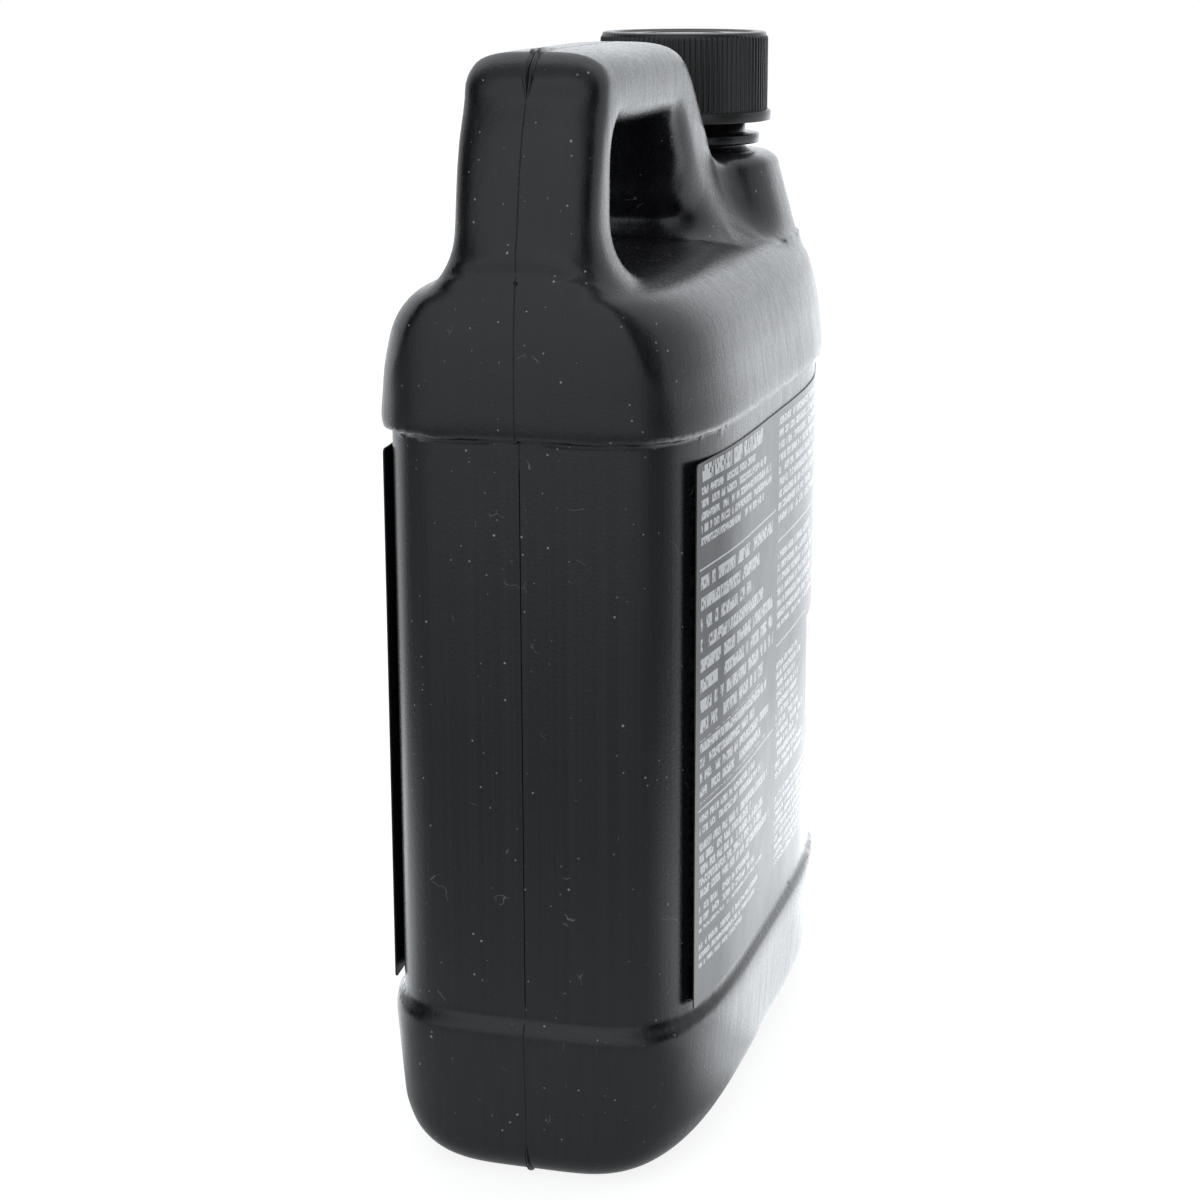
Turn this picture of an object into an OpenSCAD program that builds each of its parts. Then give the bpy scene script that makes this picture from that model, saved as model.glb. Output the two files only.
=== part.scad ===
// Coolant bottle: a blow-moulded bottle with a hollow handle at one end, a screw
// neck at the other, a two-piece push-and-turn cap and a label on each broad face.
// +X points from the handle to the neck, the labels face -Y and +Y, +Z is up.
// The origin is the centre of the foot.

/* [Body] */
// Length of the waist, between the two narrow faces
waist_w = 160; // [140:1:190]
// Depth of the waist, between the two broad faces
waist_d = 71.4; // [60:0.2:90]
// Squareness of the plan at the handle's end: 2 is an ellipse, higher is boxier
plan_power = 4.7; // [3.6:0.1:6]
// Squareness of the plan at the neck's end
neck_end_power = 3.3; // [2.8:0.1:5]
// Height of the foot band
foot_h = 36.4; // [25:0.2:45]
// Height at which the waist ends and the shoulder starts
shoulder_z = 157.6; // [130:0.2:190]
// Height of the shoulder, from its lower edge to the deck under the handle
shoulder_h = 34.1; // [28:0.1:45]
// How far the foot band stands out from the waist
foot_step = 1.6; // [0.8:0.1:2.4]
// How far the shoulder stands out from the waist at its ends
shoulder_step = 3; // [1.5:0.1:4.5]
// How far the shoulder stands out from the waist on the broad faces
shoulder_side_step = 1.5; // [0.8:0.1:3]
// Radius of the edge round the foot
heel_r = 7.5; // [5:0.5:11]
// Radius of the heel at the foot of the broad faces
heel_side_r = 15; // [8:0.5:20]
// Height of the pushed-up middle of the foot
foot_push_up = 2; // [1:0.5:4]
// Wall of the blown shell
wall = 1; // [0.8:0.05:2]

/* [Handle] */
// Height of the handle above the deck
handle_h = 43.2; // [38:0.2:50]
// Width of the grip across the bottle
grip_w = 29.8; // [24:0.2:34]
// Thickness of the rear post
post_t = 20; // [15:0.5:24]
// Thickness of the bridge along the top
bridge_t = 16.4; // [13:0.2:20]
// Length of the finger gap under the bridge
gap_w = 50; // [44:1:58]
// How far the post leans in towards its top
post_lean = 7.1; // [4:0.1:9]
// Radius of the finger gap's upper rear corner
gap_r = 7; // [4:0.5:9]
// Radius of the handle's upper rear corner
corner_r = 8.8; // [7:0.1:10]
// Squareness of the grip's section
grip_power = 3.6; // [2.5:0.1:6]
// Height of the parting ridge over the top of the handle
flash_h = 0.8; // [0.4:0.1:1.2]
// Width of the parting ridge
flash_w = 0.9; // [0.5:0.1:1.3]

/* [Neck] */
// Distance of the neck's axis from the middle of the bottle
neck_x = 51.6; // [44:0.1:55]
// Radius of the neck's bore
bore_r = 12.9; // [11:0.1:13.4]
// Outer radius of the neck's plain tube
neck_r = 14.8; // [14.4:0.1:15.2]
// Outer radius of the neck's thread
thread_r = 16.1; // [15.6:0.1:16.2]
// Length of the threaded part of the neck
thread_l = 8.6; // [7:0.2:11]
// Lead of the thread in one turn
thread_lead = 4.23; // [3:0.01:5]
// Radius of the ring round the foot of the neck
bead_r = 18.2; // [17:0.1:19]
// Thickness of that ring
bead_t = 2.3; // [1.4:0.1:2.8]
// Gap between the mound's deck and that ring
bead_gap = 1.8; // [1.2:0.1:2.8]
// Height of the neck above its ring
neck_h = 17.2; // [16.5:0.1:19]
// Height of the mound's deck above the deck under the handle
mound_h = 15.6; // [14:0.2:18]
// Radius of the mound at its deck
mound_r = 22.5; // [21:0.1:25]
// Slope of the mound's side, as widening for each millimetre down
mound_slope = 0.27; // [0.2:0.01:0.3]
// Squareness of the mound's plan
mound_power = 2.5; // [2:0.1:3.5]

/* [Cap] */
// How far the lip stands out from the ribs
lip_step = 0.8; // [0.4:0.1:1.4]
// Height of the cap's lip
lip_h = 2.5; // [1.8:0.1:3.2]
// Height of the outer cap
cap_h = 20.7; // [20:0.1:21.5]
// Number of ribs round the cap
rib_n = 96; // [60:2:120]
// Depth of the ribs
rib_depth = 0.4; // [0.2:0.05:0.5]
// Wall of the outer cap
cap_wall = 1.6; // [1.2:0.05:2]
// Thickness of the outer cap's top
cap_top = 1.3; // [1:0.1:1.6]
// Depth of the dish in the cap's top
dish_depth = 0.5; // [0.2:0.1:0.6]
// Radius of the dish in the cap's top
dish_r = 16.5; // [14:0.1:17.5]
// Travel of the outer cap when it is pushed down
push_travel = 1.2; // [0.8:0.1:1.4]
// Wall of the inner cap
inner_wall = 1.3; // [1:0.05:1.6]
// Thickness of the inner cap's top
inner_top = 1.3; // [0.9:0.1:1.5]
// Thickness of the foam liner
liner_t = 1.1; // [0.7:0.1:1.4]
// Number of driving lugs between the two caps
lug_n = 12; // [8:2:16]
// Height of the driving lugs on the inner cap
lug_h = 1.3; // [0.9:0.1:1.6]
// Clearance between pieces that move against each other
clearance = 0.3; // [0.2:0.05:0.4]

/* [Labels] */
// Width of each label
label_w = 136; // [116:1:140]
// Height of each label
label_h = 116.8; // [95:0.2:118]
// Thickness of a label
label_t = 0.3; // [0.2:0.05:0.5]
// Half-width over which a label lies on the face; it runs straight on from there
label_lie = 51.5; // [36:0.5:56]
// Thickness of the adhesive between a label and the face
label_glue = 0.05; // [0.02:0.01:0.1]

/* [Hidden] */
$fn = 96;

shell_colour = [0.05, 0.05, 0.055];
cap_colour = [0.04, 0.04, 0.045];
inner_colour = [0.85, 0.85, 0.83];
liner_colour = [0.93, 0.93, 0.9];
label_colour = [0.23, 0.24, 0.26];

plan_points = 40;     // points round a ring of the body or the mound
grip_points = 20;     // points round a section of the handle
cavity_share = 0.8;   // the cavity's rings have this share of those points

// Rolls and blends of the blown shell
foot_taper = 1.1;     // narrowing of the foot band from its top to its heel
ledge_h = 5.4;        // height of the roll over the foot band
edge_h = 5.1;         // height of the roll under the shoulder
roll_run = 4.6;       // how far the shoulder's ends draw in up to the deck
root_h = 18;          // how deep the handle and the mound run into the body
mound_edge_r = 5.3;   // width of the round edge of the mound's deck
leg_root = 12.8;      // how far the front leg's inner face leans over the gap
label_drop = 1;       // how far a label sits below the middle of the waist

// Heights
deck_z = shoulder_z + shoulder_h;
handle_top = deck_z + handle_h;
bridge_z = handle_top - bridge_t;
mound_z = deck_z + mound_h;
bead_z = mound_z + bead_gap;
mouth_z = bead_z + bead_t + neck_h;
inner_top_z = mouth_z + liner_t;
lug_z = inner_top_z + inner_top;
cap_inside_z = lug_z + lug_h + push_travel + clearance;
cap_top_z = cap_inside_z + cap_top;
cap_foot_z = cap_top_z - cap_h;
inner_foot_z = cap_foot_z + 1.9;
label_z = (foot_h + shoulder_z - label_h) / 2 - label_drop;

// Radii of the cap, from the thread outwards
inner_r = thread_r + clearance;
inner_out_r = inner_r + inner_wall;
outer_in_r = inner_out_r + clearance;
valley_r = outer_in_r + cap_wall;
cap_r = valley_r + rib_depth;
lip_r = cap_r + lip_step;

function mix(a, b, t) = a + (b - a) * t;
function signed_power(v, e) = sign(v) * pow(abs(v), e);

// A closed ring of points on a superellipse, whose right half may be squarer or rounder.
function super_ring(a, b, left_power, right_power, count) = [
    for (i = [0:count - 1])
        let (t = 360 * i / count, power = cos(t) > 0 ? right_power : left_power)
        [a * signed_power(cos(t), 2 / power), b * signed_power(sin(t), 2 / power)]
];
function plan_ring(a, b, count) = super_ring(a, b, plan_power, neck_end_power, count);

// A closed solid through a list of rings that all have as many points. A sheet's rings
// run along one face and back along the other, so its ends are closed by a strip.
module loft(rings, sheet = false) {
    count = len(rings[0]);
    last = len(rings) - 1;
    points = [for (ring = rings) each ring];
    sides = [
        for (k = [0:last - 1]) for (i = [0:count - 1])
            let (j = (i + 1) % count, p = k * count, q = p + count)
            each [[p + i, q + i, q + j], [p + i, q + j, p + j]]
    ];
    foot = sheet ? [for (i = [0:count / 2 - 2]) [i, i + 1, count - 2 - i, count - 1 - i]]
                 : [[for (i = [0:count - 1]) i]];
    head = [for (face = foot) [for (k = [len(face) - 1:-1:0]) last * count + face[k]]];
    polyhedron(points, concat(foot, sides, head), convexity = 6);
}

// Body: rings of [height, how far out at the ends, how far out on the broad faces].
function heel_in(z, r) = z < r ? r - sqrt(r * r - (r - z) * (r - z)) : 0;
function heel_rings() =
    let (out = foot_step - foot_taper,
         heights = concat([for (t = [0:22.5:90]) heel_r * (1 - cos(t))],
                          [(heel_r + heel_side_r) / 2, heel_side_r]))
    [for (z = heights) [z, out - heel_in(z, heel_r), out - heel_in(z, heel_side_r)]];
function ledge_rings() = [
    for (s = [[1, 1], [0.45, 0.85], [0.2, 0.3], [0, 0]])
        [foot_h - s[0] * ledge_h, s[1] * foot_step, s[1] * foot_step]
];
function edge_rings() = [
    for (s = [[0, 0], [0.16, 0.4], [0.4, 0.8], [1, 1]])
        [shoulder_z + s[0] * edge_h, s[1] * shoulder_step, s[1] * shoulder_side_step]
];
// The roll from the shoulder's side to the deck: shares of its height, its step and its depth.
shoulder_roll = [
    [0.38, 1, 0.97], [0.54, 0.98, 0.94], [0.68, 0.95, 0.9], [0.79, 0.9, 0.835],
    [0.88, 0.85, 0.735], [0.94, 0.8, 0.58], [0.98, 0.72, 0.37], [1, 0.6, 0.14]
];
function roll_rings() =
    let (side = waist_d / 2 + shoulder_side_step)
    [for (s = shoulder_roll)
        [shoulder_z + s[0] * shoulder_h,
         s[1] * shoulder_step - (1 - s[1]) * roll_run,
         s[2] * side - waist_d / 2]];

function body_rings() = concat(heel_rings(), ledge_rings(), edge_rings(), roll_rings());

module body_form(inset, count) {
    loft([
        for (s = body_rings())
            let (a = waist_w / 2 + s[1] - inset,
                 b = max(waist_d / 2 + s[2] - inset, 1),
                 z = min(max(s[0], inset), deck_z - inset))
            [for (p = plan_ring(a, b, count)) [p.x, p.y, z]]
    ]);
}

// Mound: rings of [drop from its deck, radius].
function mound_rings() = concat(
    [for (s = [[0, 1], [0.11, 0.56], [0.34, 0.2], [0.7, 0]])
        [s[0] * mound_edge_r, mound_r - s[1] * mound_edge_r]],
    [for (s = [0.25, 0.45, 0.65, 0.85, 1])
        let (drop = s * (mound_h + root_h * 0.6))
        [drop, mound_r + (drop - 0.7 * mound_edge_r) * mound_slope]]
);

module mound_form(inset, count) {
    rings = mound_rings();
    loft([
        for (i = [len(rings) - 1:-1:0])
            let (r = rings[i][1] - inset)
            [for (p = super_ring(r, r, mound_power, mound_power, count))
                [neck_x + p.x, p.y, mound_z - rings[i][0] - inset]]
    ]);
}

// Handle: stations of [inner point, outer point, half-width of the section].
grip = grip_w / 2;
rear_x = -waist_w / 2;
gap_x = rear_x + post_t;
gap_end = gap_x + gap_w;
post_h = bridge_z - gap_r - deck_z;
rear_h = handle_top - corner_r - deck_z;
corner_x = rear_x + post_lean + corner_r;
leg_side = neck_x - mound_r;

root_stations = [
    [[gap_x + 6.9, deck_z - root_h], [rear_x - 1.6, deck_z - root_h], grip + 10.3],
    [[gap_x + 10.3, deck_z - 5.7], [rear_x - 1.7, deck_z - 6.9], grip + 8.6],
    [[gap_x + 7.4, deck_z - 1.1], [rear_x - 1.4, deck_z - 2.3], grip + 3.9],
    [[gap_x + 3.4, deck_z + 2.3], [rear_x - 0.5, deck_z + 2.3], grip + 1.5],
    [[gap_x + 0.9, deck_z + 0.32 * post_h], [rear_x + 0.3, deck_z + 0.18 * rear_h], grip + 0.3]
];
post_stations = [
    for (s = [[0.55, 0.35, 0.11], [0.8, 0.57, 0.3], [0.93, 0.8, 0.6]])
        [[gap_x, deck_z + s[0] * post_h], [rear_x + s[2] * post_lean, deck_z + s[1] * rear_h], grip]
];
corner_stations = [
    for (t = [0:22.5:90])
        [[gap_x + gap_r * (1 - cos(t)), bridge_z - gap_r * (1 - sin(t))],
         [corner_x - corner_r * cos(t), handle_top - corner_r * (1 - sin(t))], grip]
];
bridge_stations = [
    [[(gap_x + gap_end) / 2, bridge_z], [(gap_x + gap_end) / 2, handle_top], grip],
    [[gap_end - 6.9, bridge_z], [gap_end - 3, handle_top], grip],
    [[gap_end - 1.7, bridge_z - 0.7], [gap_end + 6, handle_top - 0.7], grip]
];
leg_stations = [
    for (t = [0, 0.35, 0.7, 1])
        [mix([gap_end + 1.7, bridge_z - 3.9], [gap_end + leg_root, deck_z + 7.9], t),
         mix([gap_end + 13.5, handle_top - 4.1], [leg_side + 2, mound_z + 0.6], t), grip]
];
leg_root_stations = [
    [[gap_end + leg_root + 0.9, deck_z + 4.5], [leg_side + 8, mound_z - 3.3], grip + 0.6],
    [[gap_end + leg_root - 0.8, deck_z + 0.5], [leg_side + 12.4, mound_z - 8], grip + 2.3],
    [[gap_end + leg_root - 4.8, deck_z - 2.9], [leg_side + 14.7, deck_z - 0.4], grip + 5],
    [[gap_end + leg_root - 7, deck_z - 0.6 * root_h], [leg_side + 14.7, deck_z - 0.6 * root_h], grip + 6.9]
];

function grip_ring(s, inset, count) =
    let (middle = (s[0] + s[1]) / 2,
         across = s[1] - s[0],
         u = across / norm(across))
    [for (p = super_ring(norm(across) / 2 - inset, s[2] - inset, grip_power, grip_power, count))
        [middle.x + u.x * p.x, p.y, middle.y + u.y * p.x]];

module handle_form(inset, count) {
    stations = concat(root_stations, post_stations, corner_stations, bridge_stations,
                      leg_stations, leg_root_stations);
    loft([for (i = [len(stations) - 1:-1:0]) grip_ring(stations[i], inset, count)]);
}

module blown_form(inset, share) {
    body_form(inset, round(plan_points * share));
    mound_form(inset, round(plan_points * share));
    handle_form(inset, round(grip_points * share));
}

// The ridge that the two halves of the mould leave over the top of the handle.
module flash() {
    rear = concat([post_stations[2]], corner_stations);
    top = concat([for (s = rear) s[1] + flash_h * (s[1] - s[0]) / norm(s[1] - s[0])],
                 [for (s = bridge_stations) s[1] + [0, flash_h]]);
    low = concat([for (i = [len(bridge_stations) - 1:-1:0]) bridge_stations[i][1] - [0, wall / 2]],
                 [for (i = [len(rear) - 1:-1:0]) mix(rear[i][1], rear[i][0], wall / 2 / post_t)]);
    rotate([90, 0, 0])
        linear_extrude(height = flash_w, center = true)
            polygon(concat(top, low));
}

// The middle of the foot, pushed up so that the bottle stands on a ring.
module foot_dish(margin) {
    translate([0, 0, -1])
        linear_extrude(height = 1 + foot_push_up + margin)
            polygon(plan_ring(waist_w / 2 - heel_r - 4 + margin, waist_d / 2 - heel_side_r + margin,
                              plan_points));
}

// The blown shell, drawn to its outside length, hollow and open under the neck.
module shell() {
    resize([waist_w + 2 * shoulder_step, 0, 0])
        difference() {
            union() {
                blown_form(0, 1);
                flash();
            }
            difference() {
                union() blown_form(wall, cavity_share);
                foot_dish(wall);
            }
            foot_dish(0);
            translate([neck_x, 0, mound_z - 3 * wall])
                cylinder(r = (bore_r + neck_r) / 2, h = 4 * wall);
        }
}

module neck() {
    foot_z = mound_z - 2 * wall;
    ridge = thread_lead / 2;
    rotate_extrude()
        polygon([
            [bore_r, foot_z], [neck_r + 1.6, foot_z], [neck_r + 1.6, mound_z], [neck_r, bead_z - 0.8],
            [bead_r - 0.3, bead_z], [bead_r, bead_z + 0.3], [bead_r, bead_z + bead_t - 0.3],
            [bead_r - 0.3, bead_z + bead_t], [neck_r, bead_z + bead_t],
            [neck_r, mouth_z - 0.6], [neck_r - 0.6, mouth_z], [bore_r, mouth_z]
        ]);
    for (z = [mouth_z - 1.2 - ridge:-thread_lead:mouth_z - 1.2 - thread_l])
        translate([0, 0, z])
            rotate_extrude()
                polygon([
                    [neck_r - 0.5, 0], [neck_r, 0], [thread_r, ridge * 0.4],
                    [thread_r, ridge * 0.7], [neck_r, ridge], [neck_r - 0.5, ridge]
                ]);
}

module bottle() {
    color(shell_colour) {
        shell();
        translate([neck_x, 0, 0]) neck();
    }
}

// Outline of the ribbed wall: each rib is a flat crest with sloping sides.
function rib_ring() = [
    for (i = [0:rib_n - 1]) for (s = [[0, 0], [0.3, 0], [0.5, 1], [0.8, 1]])
        let (t = 360 * (i + s[0]) / rib_n, r = cap_r - rib_depth * s[1])
        [r * cos(t), r * sin(t)]
];

// A ring of driving lugs that stand up from a height, turned by a share of their pitch.
module lugs(z, h, turn) {
    for (i = [0:lug_n - 1])
        rotate([0, 0, 360 * (i + turn) / lug_n])
            translate([inner_r - 2.8, -0.9, z])
                cube([2.6, 1.8, h]);
}

module cap_outer() {
    snap_r = inner_out_r - 0.6;
    top_edge = cap_top_z - 1.2;
    color(cap_colour)
        translate([neck_x, 0, 0]) {
            difference() {
                union() {
                    translate([0, 0, cap_foot_z + lip_h - 0.1])
                        linear_extrude(height = top_edge - cap_foot_z - lip_h)
                            polygon(rib_ring());
                    rotate_extrude()
                        polygon([
                            [0, cap_foot_z], [lip_r, cap_foot_z], [lip_r, cap_foot_z + lip_h - 0.5],
                            [lip_r - 0.4, cap_foot_z + lip_h], [valley_r - 0.2, cap_foot_z + lip_h],
                            [valley_r - 0.2, top_edge - 0.2], [cap_r, top_edge],
                            [cap_r - 0.25, cap_top_z - 0.5], [cap_r - 0.9, cap_top_z],
                            [dish_r + 0.4, cap_top_z], [dish_r, cap_top_z - dish_depth],
                            [0, cap_top_z - dish_depth]
                        ]);
                }
                rotate_extrude()
                    polygon([
                        [0, cap_foot_z - 1], [outer_in_r + 0.4, cap_foot_z - 1],
                        [outer_in_r + 0.4, cap_foot_z + 0.4], [snap_r, cap_foot_z + 0.9],
                        [snap_r, cap_foot_z + 1.2], [outer_in_r, cap_foot_z + 1.6],
                        [outer_in_r, cap_inside_z], [0, cap_inside_z]
                    ]);
            }
            lugs(cap_inside_z - push_travel, push_travel + 0.2, 0.5);
        }
}

module cap_inner() {
    color(inner_colour)
        translate([neck_x, 0, 0]) {
            rotate_extrude()
                polygon([
                    [inner_r, inner_foot_z], [inner_out_r, inner_foot_z], [inner_out_r, lug_z - 0.5],
                    [inner_out_r - 0.5, lug_z], [0, lug_z], [0, inner_top_z], [inner_r, inner_top_z]
                ]);
            lugs(lug_z - 0.2, lug_h + 0.2, 0);
        }
}

module cap_liner() {
    color(liner_colour)
        translate([neck_x, 0, mouth_z])
            cylinder(r = inner_r - clearance, h = liner_t);
}

// A label's outline at a height: it lies on the middle facets of the face and runs on
// straight, along the facet on which it leaves the face.
waist_ring = plan_ring(waist_w / 2, waist_d / 2, plan_points);
lying = [for (i = [plan_points / 2:-1:0]) if (abs(waist_ring[i].x) < label_lie) i];
function run_on(p, q, x) = p + (q - p) * (x - p.x) / (q.x - p.x);
function label_ring(z) =
    let (a = waist_w / 2 + lookup(z, [for (s = body_rings()) [s[0], s[1]]]),
         b = waist_d / 2 + lookup(z, [for (s = body_rings()) [s[0], s[2]]]),
         face = [for (p = plan_ring(a, b, plan_points)) p + [0, label_glue]],
         rear = lying[0],
         fore = lying[len(lying) - 1],
         under = concat([run_on(face[rear], face[rear + 1], -label_w / 2)],
                        [for (i = lying) face[i]],
                        [run_on(face[fore], face[fore - 1], label_w / 2)]))
    concat(under, [for (i = [len(under) - 1:-1:0]) under[i] + [0, label_t]]);

module label() {
    top_z = label_z + label_h;
    rolls = [for (s = body_rings()) if (s[0] > label_z && s[0] < top_z) s[0]];
    color(label_colour)
        loft([for (z = concat([label_z], rolls, [top_z])) [for (p = label_ring(z)) [p.x, p.y, z]]],
             sheet = true);
}

module front_label() {
    label();
}

module back_label() {
    mirror([0, 1, 0]) label();
}

bottle();
cap_outer();
cap_inner();
cap_liner();
front_label();
back_label();
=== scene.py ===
import math
import bpy
import numpy as np
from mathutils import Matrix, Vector


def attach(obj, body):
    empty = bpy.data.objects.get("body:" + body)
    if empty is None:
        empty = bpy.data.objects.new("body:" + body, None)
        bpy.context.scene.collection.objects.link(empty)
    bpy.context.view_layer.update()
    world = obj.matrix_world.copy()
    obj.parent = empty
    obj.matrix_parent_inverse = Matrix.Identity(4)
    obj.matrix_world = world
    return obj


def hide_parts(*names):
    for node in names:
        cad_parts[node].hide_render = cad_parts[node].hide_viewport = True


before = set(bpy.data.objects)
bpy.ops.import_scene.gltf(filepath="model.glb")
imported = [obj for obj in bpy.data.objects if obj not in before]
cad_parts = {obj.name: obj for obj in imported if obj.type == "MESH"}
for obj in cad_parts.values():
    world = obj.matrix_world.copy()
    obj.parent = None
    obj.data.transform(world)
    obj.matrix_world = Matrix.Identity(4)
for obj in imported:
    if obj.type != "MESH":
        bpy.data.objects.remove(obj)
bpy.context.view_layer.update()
scene = bpy.context.scene
print("bottle: frame loaded")


# Points are in millimetres until a piece is made.
def addPiece(name, points, faces, body, material, node=None, sharp=None):
    mesh = bpy.data.meshes.new(name)
    mesh.from_pydata((np.asarray(points, float) * 0.001).tolist(), [], faces)
    mesh.polygons.foreach_set("use_smooth", [True] * len(mesh.polygons))
    if sharp:
        mesh.set_sharp_from_angle(angle=math.radians(sharp))
    mesh.materials.append(material)
    mesh.update()
    piece = bpy.data.objects.new(name, mesh)
    scene.collection.objects.link(piece)
    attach(piece, body)
    if node:
        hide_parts(node)
    return piece


def joinMeshes(parts):
    points = []
    faces = []
    for partPoints, partFaces in parts:
        start = len(points)
        points.extend(np.asarray(partPoints, float).tolist())
        faces.extend([[start + i for i in face] for face in partFaces])
    return points, faces


def smoothRows(rows, steps):
    # a Catmull-Rom curve through rows of numbers
    rows = np.asarray(rows, float)
    padded = np.vstack([2 * rows[0] - rows[1], rows, 2 * rows[-1] - rows[-2]])
    out = []
    for i in range(len(rows) - 1):
        a, b, c, d = padded[i:i + 4]
        for t in np.arange(steps) / steps:
            out.append(0.5 * (2 * b + (c - a) * t + (2 * a - 5 * b + 4 * c - d) * t * t
                              + (3 * b - a - 3 * c + d) * t ** 3))
    out.append(rows[-1])
    return np.array(out)


# Shader graphs: a signal is one socket, and sums on signals add Math nodes.
class Signal:
    def __init__(self, tree, socket=None):
        self.tree = tree
        self.socket = socket

    def node(self, kind, settings=None, inputs=None, output=0):
        made = self.tree.nodes.new(kind)
        for key, value in (settings or {}).items():
            setattr(made, key, value)
        for key, value in (inputs or {}).items():
            if isinstance(value, Signal):
                self.tree.links.new(value.socket, made.inputs[key])
            else:
                made.inputs[key].default_value = value
        return Signal(self.tree, made.outputs[output] if made.outputs else None)

    def calc(self, operation, *terms):
        return self.node("ShaderNodeMath", {"operation": operation}, dict(enumerate(terms)))

    def __add__(self, other):
        return self.calc("ADD", self, other)

    def __sub__(self, other):
        return self.calc("SUBTRACT", self, other)

    def __rsub__(self, other):
        return self.calc("SUBTRACT", other, self)

    def __mul__(self, other):
        return self.calc("MULTIPLY", self, other)

    def __truediv__(self, other):
        return self.calc("DIVIDE", self, other)

    def __gt__(self, other):
        return self.calc("GREATER_THAN", self, other)

    def __lt__(self, other):
        return self.calc("LESS_THAN", self, other)

    def __mod__(self, other):
        return self.calc("FLOORED_MODULO", self, other)

    __radd__ = __add__
    __rmul__ = __mul__

    def floor(self):
        return self.calc("FLOOR", self)

    def atMost(self, other):
        return self.calc("MINIMUM", self, other)

    def atLeast(self, other):
        return self.calc("MAXIMUM", self, other)

    def between(self, low, high):
        return (self > low) * (self < high)

    def ease(self, low, high):
        # 0 at low, 1 at high, whichever is larger
        return self.node("ShaderNodeMapRange", {"interpolation_type": "SMOOTHSTEP"},
                         {"Value": self, "From Min": low, "From Max": high})

    def mix(self, first, second):
        # this signal picks between two colours
        return self.node("ShaderNodeMix", {"data_type": "RGBA"}, {0: self, 6: first, 7: second}, 2)

    def stretch(self, *factors):
        return self.node("ShaderNodeVectorMath", {"operation": "MULTIPLY"}, {0: self, 1: factors})

    def shift(self, other):
        return self.node("ShaderNodeVectorMath", {"operation": "ADD"}, {0: self, 1: other})

    def axes(self):
        return [self.node("ShaderNodeSeparateXYZ", {}, {0: self}, i) for i in range(3)]

    def vector(self, x, y, z):
        return self.node("ShaderNodeCombineXYZ", {}, {0: x, 1: y, 2: z})

    def noise(self, scale, detail=2.0, roughness=0.5, output=0):
        return self.node("ShaderNodeTexNoise", {},
                         {"Vector": self, "Scale": scale, "Detail": detail, "Roughness": roughness}, output)

    def cells(self, scale, feature="F1", output=0):
        return self.node("ShaderNodeTexVoronoi", {"feature": feature}, {"Vector": self, "Scale": scale},
                         output)

    def dice(self, output=0):
        return self.node("ShaderNodeTexWhiteNoise", {"noise_dimensions": "3D"}, {"Vector": self}, output)


def grey(level):
    return (level, level, level, 1)


def startMaterial(name):
    # an empty graph with its place signal in millimetres
    material = bpy.data.materials.new(name)
    material.use_nodes = True
    tree = material.node_tree
    tree.nodes.clear()
    place = Signal(tree).node("ShaderNodeTexCoord", {}, {}, 3)
    return material, place.stretch(1000, 1000, 1000)


def finishMaterial(place, bumps, **sockets):
    # bumps are (height signal, strength, distance in metres)
    normal = None
    for height, strength, distance in bumps:
        inputs = {"Height": height, "Strength": strength, "Distance": distance}
        if normal:
            inputs["Normal"] = normal
        normal = place.node("ShaderNodeBump", {}, inputs)
    inputs = {key.replace("_", " "): value for key, value in sockets.items()}
    if normal:
        inputs["Normal"] = normal
    surface = place.node("ShaderNodeBsdfPrincipled", {}, inputs)
    place.node("ShaderNodeOutputMaterial", {}, {"Surface": surface})


jugLook = {"colour": (0.0095, 0.0095, 0.0115), "roughness": 0.27, "grainSize": 0.55, "grainHeight": 0.00006,
           "lineHeight": 0.00007, "speckCell": 1.9, "speckSize": 0.27, "hairCell": 11.0}


def jugPlastic():
    look = jugLook
    material, place = startMaterial("blackPolyethylene")
    leather = place.noise(1 / look["grainSize"], 4.0, 0.6)
    pebble = place.cells(0.8 / look["grainSize"], "SMOOTH_F1")
    dieLines = place.stretch(1, 1, 0.004).noise(0.7, 4.0, 0.65)
    patch = place.noise(0.035, 3.0)
    specks = place.cells(1 / look["speckCell"])
    pick, size, tone = place.cells(1 / look["speckCell"], "F1", 1).axes()
    speckMask = (specks < size * (look["speckSize"] / look["speckCell"])) * (pick > 0.35)
    warped = place.shift(place.noise(0.16, 2.0, 0.5, 1).stretch(9, 9, 9))
    hair = warped.cells(1 / look["hairCell"], "DISTANCE_TO_EDGE") < 0.0055
    hairMask = hair * place.shift((31, 7, 3)).noise(0.14, 1.0).ease(0.67, 0.7)
    dust = (speckMask * tone.ease(0, 0.9) + hairMask * 0.35).atMost(1)
    streaks = dieLines.ease(0.35, 0.7)
    darker, paler = ([c * share for c in look["colour"]] + [1] for share in (0.5, 1.8))
    base = (patch * 0.3 + leather * 0.3 + streaks * 0.4).mix(darker, paler)
    colour = dust.mix(base, (0.36, 0.37, 0.39, 1))
    roughness = leather * 0.16 + patch * 0.08 + streaks * 0.06 + (look["roughness"] - 0.15)
    finishMaterial(place, [(leather * 0.6 + pebble * 0.4, 0.8, look["grainHeight"]),
                           (dieLines, 0.6, look["lineHeight"])],
                   Base_Color=colour, Roughness=roughness, IOR=1.5)
    return material


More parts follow.
